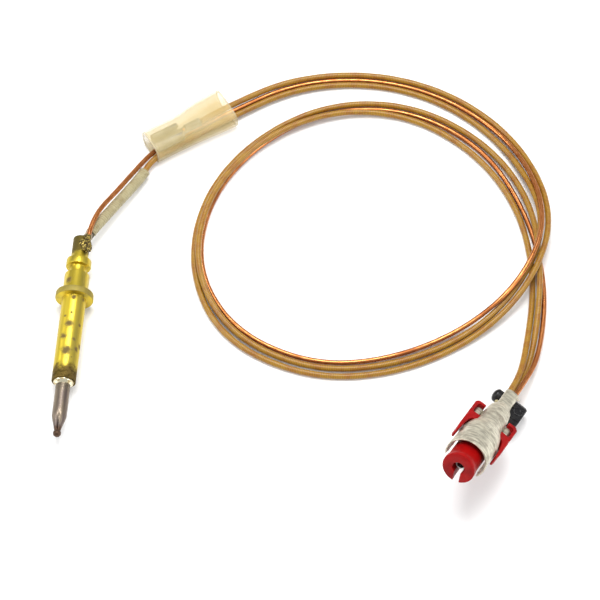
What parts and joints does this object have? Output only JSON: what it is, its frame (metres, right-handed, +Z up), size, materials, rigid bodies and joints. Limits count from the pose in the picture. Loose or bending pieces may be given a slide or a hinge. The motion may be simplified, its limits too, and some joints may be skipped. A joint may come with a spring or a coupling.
{
  "type": "thermocouple",
  "caption": "Gas hob thermocouple with a brass flanged probe, looped varnished leads, a sleeved push-on terminal and a coaxial push-in plug",
  "frame": {"origin": "on the ground, under the middle of the brass probe", "axes": "the probe's hot tip points along -Y, the coil of leads lies towards +X, +Z is up from the ground"},
  "size_m": [0.1032, 0.1074, 0.0201],
  "materials": {
    "tarnished_brass": "dull",
    "silver_braze": "rough",
    "heated_alloy": "satin",
    "element_alloy": "satin",
    "ceramic_bead": "matt",
    "varnished_braid": "glossy",
    "bare_copper": "satin",
    "woven_sleeve": "matt",
    "milky_plastic": "satin",
    "tinned_steel": "satin",
    "dull_tinplate": "dull",
    "red_plastic": "glossy",
    "black_plastic": "glossy"
  },
  "bodies": {
    "root": {"probe_body": "tarnished_brass", "braze_ring": "silver_braze", "junction_sheath": "heated_alloy", "junction_bead": "heated_alloy", "element_insulator": "ceramic_bead", "element_wire": "element_alloy", "element_splice": "tinned_steel", "rear_bead": "ceramic_bead", "live_lead": "varnished_braid", "return_lead": "bare_copper", "switch_lead": "varnished_braid", "heat_sleeve": "woven_sleeve", "return_braze": "silver_braze", "push_on_receptacle": "tinned_steel", "switch_lead_end": "bare_copper", "plug_shell": "dull_tinplate", "plug_insulator": "red_plastic", "centre_contact": "tinned_steel", "live_lead_end": "bare_copper", "rear_insulator": "black_plastic", "joint_crimp": "tinned_steel"},
    "cover": {"terminal_cover": "milky_plastic"}
  },
  "joints": [
    {"name": "cover_slide", "type": "slide", "parent": "root", "child": "cover", "axis": [0.8191, 0.5736, 0], "range_m": [0, 0.007]}
  ]
}
